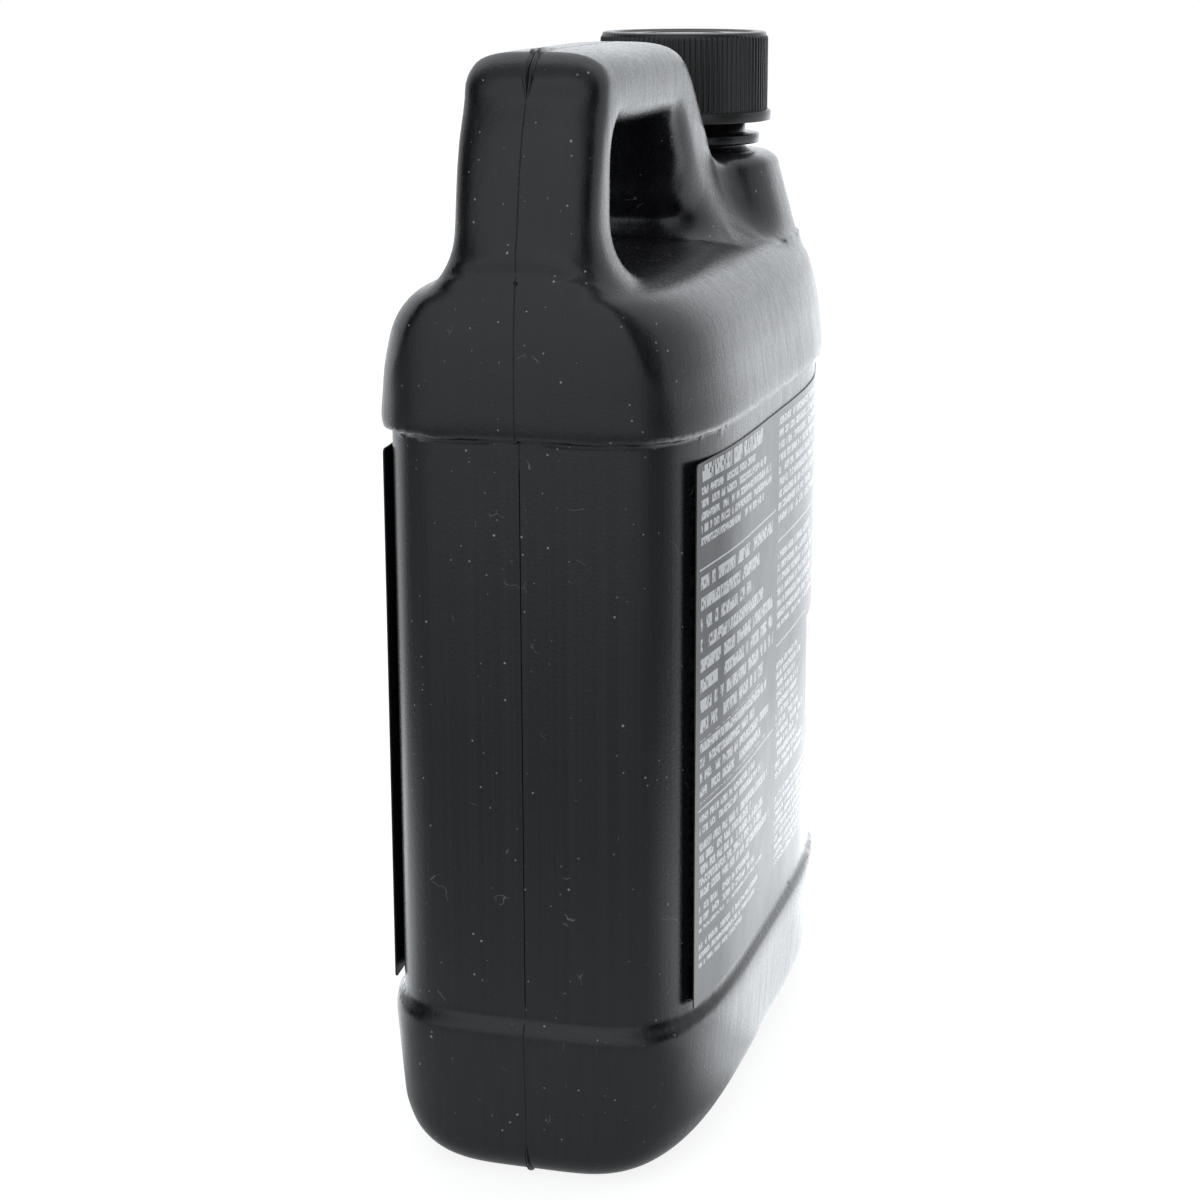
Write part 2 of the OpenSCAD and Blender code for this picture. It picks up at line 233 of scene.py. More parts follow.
def capPlastic():
    material, place = startMaterial("blackCapPlastic")
    fine = place.noise(2.4, 3.0)
    patch = place.noise(0.12, 2.0)
    specks = (place.cells(0.28) < 0.035) * place.cells(0.28, "F1", 1).axes()[0].ease(0.5, 0.6)
    colour = specks.mix(patch.mix(grey(0.017), grey(0.024)), grey(0.3))
    finishMaterial(place, [(fine, 0.35, 0.00003)], Base_Color=colour,
                   Roughness=fine * 0.12 + 0.27, IOR=1.5)
    return material


def plainPlastic(name, low, high, roughness, grain):
    material, place = startMaterial(name)
    fine = place.noise(grain, 3.0)
    patch = place.noise(0.1, 2.0)
    finishMaterial(place, [(fine, 0.5, 0.00005)], Base_Color=patch.mix(low, high),
                   Roughness=fine * 0.15 + (roughness - 0.07), IOR=1.5)
    return material


# The jug's driving sizes, as in the solids.
jug = {"waistW": 160, "waistD": 71.4, "planPower": 4.7, "neckEndPower": 3.3, "footH": 36.4,
       "shoulderZ": 157.6, "shoulderH": 34.1, "footStep": 1.6, "footTaper": 1.1, "shoulderStep": 3,
       "shoulderSideStep": 1.5, "heelR": 7.5, "heelSideR": 15, "pushUp": 2, "ledgeH": 5.4,
       "edgeH": 5.1, "rollRun": 4.6, "wall": 1.0, "cell": 1.4, "handleBlend": 26, "moundBlend": 24}
handle = {"height": 43.2, "gripW": 29.8, "postT": 20, "bridgeT": 16.4, "gapW": 50, "lean": 7.1,
          "cornerR": 8.8, "gapR": 7, "power": 3.4, "root": 18, "legRoot": 12.8}
neck = {"x": 51.6, "boreR": 12.9, "tubeR": 14.8, "threadR": 16.1, "lead": 4.23, "beadR": 18.2,
        "beadT": 2.3, "beadGap": 1.8, "height": 17.2, "moundH": 15.6, "moundR": 22.5,
        "moundSlope": 0.27, "moundPower": 2.5, "moundEdge": 5.3}
deckZ = jug["shoulderZ"] + jug["shoulderH"]
moundZ = deckZ + neck["moundH"]
beadZ = moundZ + neck["beadGap"]
mouthZ = beadZ + neck["beadT"] + neck["height"]


def heelIn(z, r):
    return r - math.sqrt(r * r - (r - z) ** 2) if z < r else 0


def bodyProfile():
    # rows of height, way out at the ends and way out on the broad faces
    low = jug["footStep"] - jug["footTaper"]
    rows = [[z, low - heelIn(z, jug["heelR"]), low - heelIn(z, jug["heelSideR"])]
            for z in (0, 0.3, 0.9, 2, 3.5, 5.4, 7.5, 11, 15)]
    rows += [[25, low + 0.62 * jug["footTaper"], low + 0.62 * jug["footTaper"]]]
    for drop, out in ((1, 1), (0.45, 0.85), (0.2, 0.3), (0, 0)):
        rows.append([jug["footH"] - drop * jug["ledgeH"], out * jug["footStep"], out * jug["footStep"]])
    rows += [[jug["footH"] + 3, 0, 0], [97, 0, 0], [jug["shoulderZ"] - 3, 0, 0]]
    for rise, end, side in ((0, 0, 0), (0.16, 0.4, 0.4), (0.4, 0.8, 0.8), (1, 1, 1)):
        rows.append([jug["shoulderZ"] + rise * jug["edgeH"], end * jug["shoulderStep"],
                     side * jug["shoulderSideStep"]])
    side = jug["waistD"] / 2 + jug["shoulderSideStep"]
    for rise, end, depth in ((0.38, 1, 0.97), (0.54, 0.98, 0.94), (0.68, 0.95, 0.9), (0.79, 0.9, 0.835),
                             (0.88, 0.85, 0.735), (0.94, 0.8, 0.58), (0.98, 0.72, 0.37), (1, 0.6, 0.14)):
        rows.append([jug["shoulderZ"] + rise * jug["shoulderH"],
                     end * jug["shoulderStep"] - (1 - end) * jug["rollRun"],
                     depth * side - jug["waistD"] / 2])
    table = smoothRows(rows, 8)
    table[:, 0] = np.maximum.accumulate(table[:, 0]) + np.arange(len(table)) * 1e-6
    return table


bodyTable = bodyProfile()
# the shoulder's roof: share of the depth from the middle, and the drop from the deck there
roofTable = smoothRows([(0, 0), (0.14, 0.05), (0.37, 0.7), (0.58, 2.05), (0.735, 4.1), (0.835, 7.2),
                        (0.9, 10.9), (0.94, 15.7), (0.97, 21.1), (1, 30)], 8)


def planShare(x, y, a, b):
    power = np.where(x > 0, jug["neckEndPower"], jug["planPower"])
    return ((np.abs(x) / a) ** power + (np.abs(y) / b) ** power) ** (1 / power)


def bodyShare(x, y, z):
    a = jug["waistW"] / 2 + np.interp(z, bodyTable[:, 0], bodyTable[:, 1])
    b = jug["waistD"] / 2 + np.interp(z, bodyTable[:, 0], bodyTable[:, 2])
    return planShare(x, y, a, b) - 1


def roofShare(x, y, z):
    power = np.where(x > 0, jug["neckEndPower"], jug["planPower"])
    reach = jug["waistW"] / 2 + jug["shoulderStep"] + 1
    narrow = np.maximum(1 - (np.abs(x) / reach) ** power, 1e-4) ** (1 / power)
    share = np.abs(y) / (jug["waistD"] / 2 + jug["shoulderSideStep"]) / narrow
    drop = np.interp(share, roofTable[:, 0], roofTable[:, 1])
    return z - deckZ + drop + np.maximum(share - 1, 0) * 300


def prismShare(x, y, z):
    a = jug["waistW"] / 2 + np.interp(z, bodyTable[:, 0], bodyTable[:, 1])
    return planShare(x, y, a, jug["waistD"] / 2 + jug["shoulderSideStep"]) - 1


def moundShare(x, y, z):
    # a round-edged stump that draws in again below the deck, where the body hides it
    power = neck["moundPower"]
    edge = neck["moundEdge"]
    spread = (np.abs(x - neck["x"]) ** power + np.abs(y) ** power) ** (1 / power)
    low = moundZ - 0.7 * edge
    wide = neck["moundR"] + (low - deckZ + 4) * neck["moundSlope"]
    radius = np.interp(z, [deckZ - 30, deckZ - 9, deckZ - 4, low],
                       [wide - 10, wide - 0.8, wide, neck["moundR"]])
    out = spread - radius + edge
    up = (z - low) / 0.7
    return np.hypot(np.maximum(out, 0), np.maximum(up, 0)) + np.minimum(np.maximum(out, up), 0) - edge


def handleStations():
    grip = handle["gripW"] / 2
    rear = -jug["waistW"] / 2
    top = deckZ + handle["height"]
    bridge = top - handle["bridgeT"]
    gapX = rear + handle["postT"]
    gapEnd = gapX + handle["gapW"]
    postH = bridge - handle["gapR"] - deckZ
    rearH = top - handle["cornerR"] - deckZ
    cornerX = rear + handle["lean"] + handle["cornerR"]
    legSide = neck["x"] - neck["moundR"]
    root = handle["root"]
    leg = handle["legRoot"]
    rows = [[gapX, deckZ - 1.7 * root, rear + 9, deckZ - 1.7 * root, grip + 6],
            [gapX + 6.9, deckZ - root, rear - 1.6, deckZ - root, grip + 10.3],
            [gapX + 10.3, deckZ - 5.7, rear - 1.7, deckZ - 6.9, grip + 8.6],
            [gapX + 7.4, deckZ - 1.1, rear - 1.4, deckZ - 2.3, grip + 3.9],
            [gapX + 3.4, deckZ + 2.3, rear - 0.5, deckZ + 2.3, grip + 1.5],
            [gapX + 0.9, deckZ + 0.32 * postH, rear + 0.3, deckZ + 0.18 * rearH, grip + 0.3]]
    for up, back, lean in ((0.55, 0.35, 0.11), (0.8, 0.57, 0.3), (0.93, 0.8, 0.6)):
        rows.append([gapX, deckZ + up * postH, rear + lean * handle["lean"], deckZ + back * rearH, grip])
    for t in np.radians([0, 22.5, 45, 67.5, 90]):
        c, s = math.cos(t), math.sin(t)
        rows.append([gapX + handle["gapR"] * (1 - c), bridge - handle["gapR"] * (1 - s),
                     cornerX - handle["cornerR"] * c, top - handle["cornerR"] * (1 - s), grip])
    middle = (gapX + gapEnd) / 2
    rows += [[middle, bridge, middle, top, grip], [gapEnd - 6.9, bridge, gapEnd - 3, top, grip],
             [gapEnd - 1.7, bridge - 0.7, gapEnd + 6, top - 0.7, grip]]
    first = np.array([gapEnd + 1.7, bridge - 3.9, gapEnd + 13.5, top - 4.1])
    last = np.array([gapEnd + leg, deckZ + 7.9, legSide + 2, moundZ + 0.6])
    for t in (0, 0.35, 0.7, 1):
        rows.append(list(first + (last - first) * t) + [grip])
    rows += [[gapEnd + leg + 0.9, deckZ + 4.5, legSide + 8, moundZ - 3.3, grip + 0.6],
             [gapEnd + leg - 0.8, deckZ + 0.5, legSide + 12.4, moundZ - 8, grip + 2.3],
             [gapEnd + leg - 4.8, deckZ - 2.9, legSide + 14.7, deckZ - 0.4, grip + 5],
             [gapEnd + leg - 7, deckZ - 0.6 * root, legSide + 14.7, deckZ - 0.6 * root, grip + 6.9]]
    return np.array(rows)


def handleMap():
    # on a grid in the middle plane: distance to the handle's outline, its half thickness and half width
    rows = smoothRows(handleStations(), 8)
    inner, outer = rows[:, 0:2], rows[:, 2:4]
    half = np.linalg.norm(outer - inner, axis=1) / 2
    unit = (outer - inner) / (2 * half[:, None])
    xs = np.arange(-92, 62, 0.5)
    zs = np.arange(160, 246, 0.5)
    flat = np.stack(np.meshgrid(xs, zs, indexing="ij"), -1).reshape(-1, 2)
    outline = np.vstack([inner, outer[::-1]])
    ahead = np.roll(outline, -1, 0) - outline
    nearest = np.full(len(flat), 1e9)
    inside = np.zeros(len(flat), bool)
    for (ax, az), (bx, bz) in zip(outline, ahead):
        dx, dz = flat[:, 0] - ax, flat[:, 1] - az
        t = np.clip((dx * bx + dz * bz) / max(bx * bx + bz * bz, 1e-9), 0, 1)
        nearest = np.minimum(nearest, (dx - t * bx) ** 2 + (dz - t * bz) ** 2)
        crosses = (dz >= 0) != (dz >= bz)
        inside ^= crosses & (dx < dz * bx / (bz if bz else 1))
    level = np.where(inside, -1, 1) * np.sqrt(nearest)
    score = np.full(len(flat), 1e9)
    thick = np.zeros(len(flat))
    wide = np.zeros(len(flat))
    for a, u, h, w in zip((inner + outer) / 2, unit, half, rows[:, 4]):
        delta = flat - a
        off = np.hypot(delta @ np.array([u[1], -u[0]]), np.maximum(np.abs(delta @ u) - h, 0))
        closer = off < score
        score = np.where(closer, off, score)
        thick[closer] = h
        wide[closer] = w
    values = np.stack([level, thick, wide], 1).reshape(len(xs), len(zs), 3)
    for _ in range(60):
        for axis in (0, 1):
            soft = np.pad(values[..., 1:], [(1, 1) if k == axis else (0, 0) for k in range(3)], "edge")
            lower = np.take(soft, range(soft.shape[axis] - 2), axis)
            upper = np.take(soft, range(2, soft.shape[axis]), axis)
            values[..., 1:] = values[..., 1:] * 0.5 + (lower + upper) * 0.25
    return xs, zs, values


mapX, mapZ, mapValues = handleMap()


def handleShare(x, y, z):
    fx = np.clip((x - mapX[0]) / 0.5, 0, len(mapX) - 1.001)
    fz = np.clip((z - mapZ[0]) / 0.5, 0, len(mapZ) - 1.001)
    i, j = fx.astype(int), fz.astype(int)
    u, v = (fx - i)[..., None], (fz - j)[..., None]
    values = (mapValues[i, j] * (1 - u) * (1 - v) + mapValues[i + 1, j] * u * (1 - v)
              + mapValues[i, j + 1] * (1 - u) * v + mapValues[i + 1, j + 1] * u * v)
    level, thick, wide = (values[..., k] for k in range(3))
    power = handle["power"]
    across = np.maximum(1 + level / thick, 0)
    return (across ** power + (np.abs(y) / wide) ** power) ** (1 / power) - 1


def distanceOf(share, x, y, z):
    # a share's distance to its surface and the direction away from it
    h = 0.15
    value = share(x, y, z)
    slope = np.stack([(share(x + h, y, z) - share(x - h, y, z)) / (2 * h),
                      (share(x, y + h, z) - share(x, y - h, z)) / (2 * h),
                      (share(x, y, z + h) - share(x, y, z - h)) / (2 * h)], -1)
    steep = np.maximum(np.linalg.norm(slope, axis=-1), 1e-3)
    return value / steep, slope / steep[..., None]


def join(first, second, radius):
    # a smooth union that fills concave corners and adds nothing where two walls run side by side
    d1, n1 = first
    d2, n2 = second
    reach = np.maximum(radius * (1 - (n1 * n2).sum(-1)) / 2, 0.05)
    t = np.clip(0.5 + 0.5 * (d2 - d1) / reach, 0, 1)
    d = d2 * (1 - t) + d1 * t - reach * t * (1 - t)
    n = n2 * (1 - t)[..., None] + n1 * t[..., None]
    return d, n / np.maximum(np.linalg.norm(n, axis=-1), 1e-6)[..., None]


def meet(first, second, radius):
    # what lies in both, with the edge between them rounded
    d1, n1 = first
    d2, n2 = second
    reach = np.maximum(radius * (1 - (n1 * n2).sum(-1)) / 2, 0.05)
    t = np.clip(0.5 + 0.5 * (d1 - d2) / reach, 0, 1)
    d = d2 * (1 - t) + d1 * t + reach * t * (1 - t)
    n = n2 * (1 - t)[..., None] + n1 * t[..., None]
    return d, n / np.maximum(np.linalg.norm(n, axis=-1), 1e-6)[..., None]


def ease(value, low, high):
    t = np.clip((value - low) / (high - low), 0, 1)
    return t * t * (3 - 2 * t)


def aboveDish(first, x, y, z):
    d, n = first
    share = planShare(x, y, jug["waistW"] / 2 - jug["heelR"] - 4,
                      jug["waistD"] / 2 - jug["heelSideR"] + 2)
    level = jug["pushUp"] * ease(1 - share, 0, 0.13) - z
    higher = level > d
    return np.where(higher, level, d), np.where(higher[..., None], [0, 0, -1.0], n)


def jugField(x, y, z):
    d, n = distanceOf(bodyShare, x, y, z)
    d, n = aboveDish((d, n), x, y, z)
    upper = z > 163
    if upper.any():
        ux, uy, uz = x[upper], y[upper], z[upper]
        top = meet(distanceOf(roofShare, ux, uy, uz), distanceOf(prismShare, ux, uy, uz), 8)
        blend = ease(uz, 163, 173)
        body = (d[upper] * (1 - blend) + top[0] * blend,
                n[upper] * (1 - blend)[..., None] + top[1] * blend[..., None])
        part = join(body, distanceOf(moundShare, ux, uy, uz), jug["moundBlend"] * blend)
        part = join(part, distanceOf(handleShare, ux, uy, uz), jug["handleBlend"] * blend)
        d[upper] = part[0]
        n[upper] = part[1]
    return d, n


def wrapSurface(field, low, high, cell):
    # a closed quad mesh round the field's zero level; the field mirrors in y
    xs = np.arange(low[0], high[0], cell)
    ys = np.arange(cell / 2, high[1], cell)
    zs = np.arange(low[2], high[2], cell)
    coarse = 4 * cell
    cx, cy, cz = (np.arange(a[0], a[-1] + coarse, coarse) for a in (xs, ys, zs))
    rough = field(*np.meshgrid(cx, cy, cz, indexing="ij"))[0]
    half = rough[np.ix_(*[np.rint((a - a[0]) / coarse).astype(int) for a in (xs, ys, zs)])]
    near = np.argwhere(np.abs(half) < 1.6 * coarse)
    half[tuple(near.T)] = field(xs[near[:, 0]], ys[near[:, 1]], zs[near[:, 2]])[0]
    values = np.concatenate([half[:, ::-1], half], 1)
    origin = np.array([xs[0], -ys[-1], zs[0]])
    shape = np.array(values.shape) - 1
    count = np.zeros(shape).ravel()
    total = np.zeros((count.size, 3))
    found = []
    for axis in range(3):
        one, two = (axis + 1) % 3, (axis + 2) % 3
        first = np.take(values, range(values.shape[axis] - 1), axis)
        second = np.take(values, range(1, values.shape[axis]), axis)
        crossing = (first < 0) != (second < 0)
        index = np.argwhere(crossing)
        a, b = first[crossing], second[crossing]
        spot = index.astype(float)
        spot[:, axis] += a / (a - b)
        corners = []
        for backOne, backTwo in ((1, 1), (0, 1), (0, 0), (1, 0)):
            cellIndex = index.copy()
            cellIndex[:, one] -= backOne
            cellIndex[:, two] -= backTwo
            flat = np.ravel_multi_index(cellIndex.T, shape, mode="clip")
            corners.append(flat)
            np.add.at(count, flat, 1)
            np.add.at(total, flat, spot)
        quads = np.stack(corners, 1)
        quads[a > 0] = quads[a > 0][:, ::-1]
        found.append(quads)
    quads = np.concatenate(found)
    used = np.unique(quads)
    number = np.full(count.size, -1)
    number[used] = np.arange(len(used))
    points = total[used] / count[used][:, None] * cell + origin
    quads = number[quads]
    edges = np.concatenate([quads[:, [i, (i + 1) % 4]] for i in range(4)])
    for turn in range(3):
        around = np.zeros_like(points)
        ways = np.zeros(len(points))
        np.add.at(around, edges[:, 0], points[edges[:, 1]])
        np.add.at(ways, edges[:, 0], 1)
        if turn:
            points = points + 0.5 * (around / ways[:, None] - points)
        for _ in range(2):
            d, n = field(points[:, 0].copy(), points[:, 1].copy(), points[:, 2].copy())
            points -= np.clip(d, -cell, cell)[:, None] * n
    return points, quads


def openUnderNeck(points, quads, top):
    spread = np.hypot(points[:, 0] - neck["x"], points[:, 1])
    inside = (spread < neck["boreR"] + 0.6) & (points[:, 2] > top)
    return points, quads[~inside[quads].all(1)]


def skinInside(x, y, z):
    d, n = jugField(x, y, z)
    return d + jug["wall"], n


def turned(profile, count, centreX):
    # a closed profile of (radius, height) turned round the neck's axis
    profile = np.asarray(profile, float)
    angles = np.arange(count) * 2 * math.pi / count
    points = np.stack([centreX + np.outer(np.cos(angles), profile[:, 0]),
                       np.outer(np.sin(angles), profile[:, 0]),
                       np.tile(profile[:, 1], (count, 1))], -1).reshape(-1, 3)
    rows = len(profile)
    faces = [[i * rows + k, ((i + 1) % count) * rows + k, ((i + 1) % count) * rows + (k + 1) % rows,
              i * rows + (k + 1) % rows] for i in range(count) for k in range(rows)]
    return points, faces


def neckFinish():
    bore, tube, bead = neck["boreR"], neck["tubeR"], neck["beadR"]
    top = beadZ + neck["beadT"]
    profile = [(bore, moundZ - 2), (tube + 3, moundZ - 1.2), (tube + 2.6, moundZ - 0.3),
               (tube + 1.4, moundZ + 0.15), (tube + 0.6, moundZ + 0.5), (tube, moundZ + 1.1),
               (tube, beadZ - 0.3), (tube + 0.4, beadZ), (bead - 0.5, beadZ), (bead - 0.15, beadZ + 0.12),
               (bead, beadZ + 0.5), (bead, top - 0.5), (bead - 0.15, top - 0.12), (bead - 0.5, top),
               (tube + 0.5, top), (tube, top + 0.4), (tube, mouthZ - 0.7), (tube - 0.2, mouthZ - 0.2),
               (tube - 0.7, mouthZ), (bore + 0.4, mouthZ), (bore, mouthZ - 0.4)]
    ring = turned(profile, 128, neck["x"])
    steps = 160
    turns = 2.05
    section = [(-0.3, -1.15), (0, -1.05), (1, -0.35), (1, 0.3), (0, 1.05), (-0.3, 1.15)]
    points = []
    for i in range(steps + 1):
        t = i / steps
        angle = t * turns * 2 * math.pi
        size = min(1, 10 * t + 0.05, 10 * (1 - t) + 0.05)
        z = mouthZ - 2.4 - neck["lead"] * turns * (1 - t)
        for out, up in section:
            r = tube + max(out, -0.3) * (neck["threadR"] - tube) * (size if out > 0 else 1)
            points.append((neck["x"] + r * math.cos(angle), r * math.sin(angle),
                           z + up * (0.4 + 0.6 * size)))
    width = len(section)
    faces = [[i * width + k, i * width + (k + 1) % width,
              (i + 1) * width + (k + 1) % width, (i + 1) * width + k]
             for i in range(steps) for k in range(width)]
    faces += [list(range(width))[::-1], [steps * width + k for k in range(width)]]
    faces = [face[::-1] for face in faces]
    return joinMeshes([ring, (points, faces)])


def middleLoops(low, high, cell):
    # closed paths of (x, z, outward x, outward z) where the skin meets the middle plane
    xs = np.arange(low[0], high[0], cell)
    zs = np.arange(low[2], high[2], cell)
    gx, gz = np.meshgrid(xs, zs, indexing="ij")
    inside = jugField(gx, np.zeros_like(gx), gz)[0] < 0
    links = {}
    for i, j in np.argwhere(inside[:-1] != inside[1:]):
        links.setdefault((i, j - 1), []).append((i, j))
        links.setdefault((i, j), []).append((i, j - 1))
    for i, j in np.argwhere(inside[:, :-1] != inside[:, 1:]):
        links.setdefault((i - 1, j), []).append((i, j))
        links.setdefault((i, j), []).append((i - 1, j))
    loops = []
    while links:
        here = next(iter(links))
        chain = []
        while here in links:
            ways = links.pop(here)
            chain.append(here)
            ahead = [spot for spot in ways if spot in links]
            if not ahead:
                break
            here = ahead[0]
        spots = np.array(chain, float) * cell + [xs[0] + cell / 2, zs[0] + cell / 2]
        for again in range(6):
            spots = (spots + np.roll(spots, 1, 0) + np.roll(spots, -1, 0)) / 3 if again < 3 else spots
            d, n = jugField(spots[:, 0].copy(), np.zeros(len(spots)), spots[:, 1].copy())
            spots = spots - d[:, None] * n[:, [0, 2]]
        out = n[:, [0, 2]] / np.linalg.norm(n[:, [0, 2]], axis=1)[:, None]
        if np.cross(np.roll(spots, -1, 0) - spots, out).sum() > 0:
            spots, out = spots[::-1], out[::-1]
        loops.append(np.hstack([spots, out]))
    return loops


def seamRidge(path, profileAt):
    # a low ridge that follows the path; profileAt gives (y, height) pairs at each point
    points = []
    for x, z, nx, nz in path:
        for y, rise in profileAt(x, z):
            points.append((x + nx * rise, y, z + nz * rise))
    width = len(points) // len(path)
    faces = []
    for i in range(len(path)):
        j = (i + 1) % len(path)
        for k in range(width):
            m = (k + 1) % width
            faces.append([i * width + k, j * width + k, j * width + m, i * width + m])
    return points, faces


seam = {"width": 0.24, "rise": 0.05, "flashRise": 0.7, "flashGap": 0.7, "tabRise": 0.8, "step": 0.8}


def ridgeProfile(x, z):
    top = deckZ + handle["height"]
    nearNeck = abs(x - neck["x"]) < neck["tubeR"] + 3 and z > moundZ - 3
    along = max(0, min(1, (z - (top - 9)) / 4)) * max(0, min(1, (-52 - x) / 12))
    rise = -0.3 if nearNeck else seam["rise"]
    if x < -70 and z < 8:
        rise += seam["tabRise"] * math.sin(math.pi * z / 8) ** 0.5
    high = rise + along * seam["flashRise"]
    gap = seam["flashGap"] * along + 0.02
    w = seam["width"] / 2 + 0.04 * along
    lower = high * 0.8 + rise * 0.2
    return [(-gap - 3 * w, -0.12), (-gap - w, high), (-gap + w, high),
            (0, rise * (1 - along) + 0.05 * along), (gap - w, lower), (gap + w, lower),
            (gap + 3 * w, -0.12), (0, -0.5)]


def wound(part):
    # faces turned outwards, by the sign of the volume
    points, faces = np.asarray(part[0], float), np.asarray(part[1])
    a, b, c, d = (points[faces[:, i]] for i in range(4))
    volume = (np.einsum("ij,ij->i", a, np.cross(b, c)) + np.einsum("ij,ij->i", a, np.cross(c, d))).sum()
    return points, faces if volume > 0 else faces[:, ::-1]


def makeJug():
    cell = jug["cell"] * 1
    low = (-jug["waistW"] / 2 - 6.3, 0, -3.1)
    high = (jug["waistW"] / 2 + 7, jug["waistD"] / 2 + 6, deckZ + handle["height"] + 4)
    outer = openUnderNeck(*wrapSurface(jugField, low, high, cell), moundZ - 3)
    print("bottle: skin wrapped,", len(outer[1]), "quads")
    inner = openUnderNeck(*wrapSurface(skinInside, low, high, 3.0), moundZ - 6)
    inner = inner[0], inner[1][:, ::-1]
    loops = middleLoops(low, high, seam["step"])
    print("bottle: seam traced,", [len(loop) for loop in loops], "points")
    parts = [outer, inner, neckFinish()] + [wound(seamRidge(loop, ridgeProfile)) for loop in loops]
    points, faces = joinMeshes(parts)
    return addPiece("jugShell", points, faces, "jug", jugPlastic(), "bottle", 85)


makeJug()


# The push-and-turn cap.
cap = {"ribs": 96, "ribDepth": 0.4, "wall": 1.6, "top": 1.3, "lipStep": 0.8, "lipH": 2.5, "height": 20.7,
       "clearance": 0.3, "liner": 1.1, "innerTop": 1.3, "lug": 1.3, "push": 1.2, "innerWall": 1.3,
       "dishR": 16.5, "dishDepth": 0.5, "perRib": 6}


def makeCap():
    topZ = mouthZ + sum(cap[layer] for layer in ("liner", "innerTop", "lug", "push", "clearance", "top"))
    footZ = topZ - cap["height"]
    inR = neck["threadR"] + 2 * cap["clearance"] + cap["innerWall"]
    valley = inR + cap["wall"]
    crest = valley + cap["ribDepth"]
    lip = crest + cap["lipStep"]
    insideZ = topZ - cap["top"]
    dish, deep = cap["dishR"], cap["dishDepth"]
    # rows of radius, height and share of the rib
    rows = [(0.01, topZ - deep, 0), (5, topZ - deep, 0), (8.6, topZ - deep, 0),
            (8.8, topZ - deep + 0.05, 0), (8.95, topZ - deep + 0.25, 0), (9.3, topZ - deep + 0.3, 0),
            (9.65, topZ - deep + 0.25, 0),
            (9.8, topZ - deep + 0.05, 0), (10, topZ - deep, 0), (dish - 0.5, topZ - deep, 0),
            (dish - 0.15, topZ - deep + 0.1, 0), (dish + 0.15, topZ - 0.1, 0), (dish + 0.5, topZ, 0),
            (valley - 0.9, topZ, 0), (valley - 0.35, topZ - 0.12, 0), (valley - 0.08, topZ - 0.4, 0),
            (valley, topZ - 0.8, 0), (valley, topZ - 1, 0.25), (valley, topZ - 1.35, 0.9),
            (valley, topZ - 1.7, 1),
            (valley, footZ + cap["lipH"] + 0.5, 1), (valley, footZ + cap["lipH"] + 0.12, 1),
            (valley + 0.3, footZ + cap["lipH"], 0.3), (lip - 0.5, footZ + cap["lipH"] - 0.02, 0),
            (lip - 0.12, footZ + cap["lipH"] - 0.15, 0), (lip, footZ + cap["lipH"] - 0.5, 0),
            (lip, footZ + 0.3, 0), (lip - 0.1, footZ + 0.08, 0), (lip - 0.4, footZ, 0),
            (inR + 0.4, footZ, 0), (inR + 0.3, footZ + 0.4, 0), (inR, footZ + 1.6, 0),
            (inR, insideZ - 0.4, 0), (inR - 0.4, insideZ, 0), (0.01, insideZ, 0)]
    count = cap["ribs"] * cap["perRib"]
    ribShape = np.tile([0, 0.05, 0.75, 1, 0.95, 0.3][:cap["perRib"]], cap["ribs"])
    points = []
    for i in range(count):
        angle = 2 * math.pi * i / count
        for r, z, share in rows:
            out = r + share * ribShape[i] * cap["ribDepth"]
            points.append((neck["x"] + out * math.cos(angle), out * math.sin(angle), z))
    n = len(rows)
    faces = [[i * n + k, i * n + k + 1, ((i + 1) % count) * n + k + 1, ((i + 1) % count) * n + k]
             for i in range(count) for k in range(n - 1)]
    addPiece("ribbedCap", points, faces, "overcap", capPlastic(), "cap_outer", 50)


makeCap()
print("bottle: cap made")

# The inner cap and its liner keep their solids.
innerLook = plainPlastic("innerCapPlastic", (0.68, 0.68, 0.65, 1), (0.78, 0.78, 0.75, 1), 0.35, 2.0)
linerLook = plainPlastic("linerFoam", (0.8, 0.8, 0.77, 1), (0.88, 0.88, 0.85, 1), 0.8, 5.0)
for nodeName, look in (("cap_inner", innerLook), ("cap_liner", linerLook)):
    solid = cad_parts[nodeName]
    solid.data.materials.clear()
    solid.data.materials.append(look)

# Labels: film that lies on the broad faces and stands off at its ends.
label = {"width": 136, "height": 116.8, "lie": 51.5, "corner": 1.0, "film": 0.3,
         "columns": 90, "rows": 56}
labelZ = (jug["footH"] + jug["shoulderZ"] - label["height"]) / 2 - 1


def faceY(x):
    power = jug["neckEndPower"] if x > 0 else jug["planPower"]
    return jug["waistD"] / 2 * (1 - (abs(x) / (jug["waistW"] / 2)) ** power) ** (1 / power)


def filmY(x):
    lie = label["lie"]
    if abs(x) <= lie:
        return faceY(x)
    side = math.copysign(1, x)
    slope = faceY(side * lie) - faceY(side * (lie - 1))
    return faceY(side * lie) + slope * (abs(x) - lie)


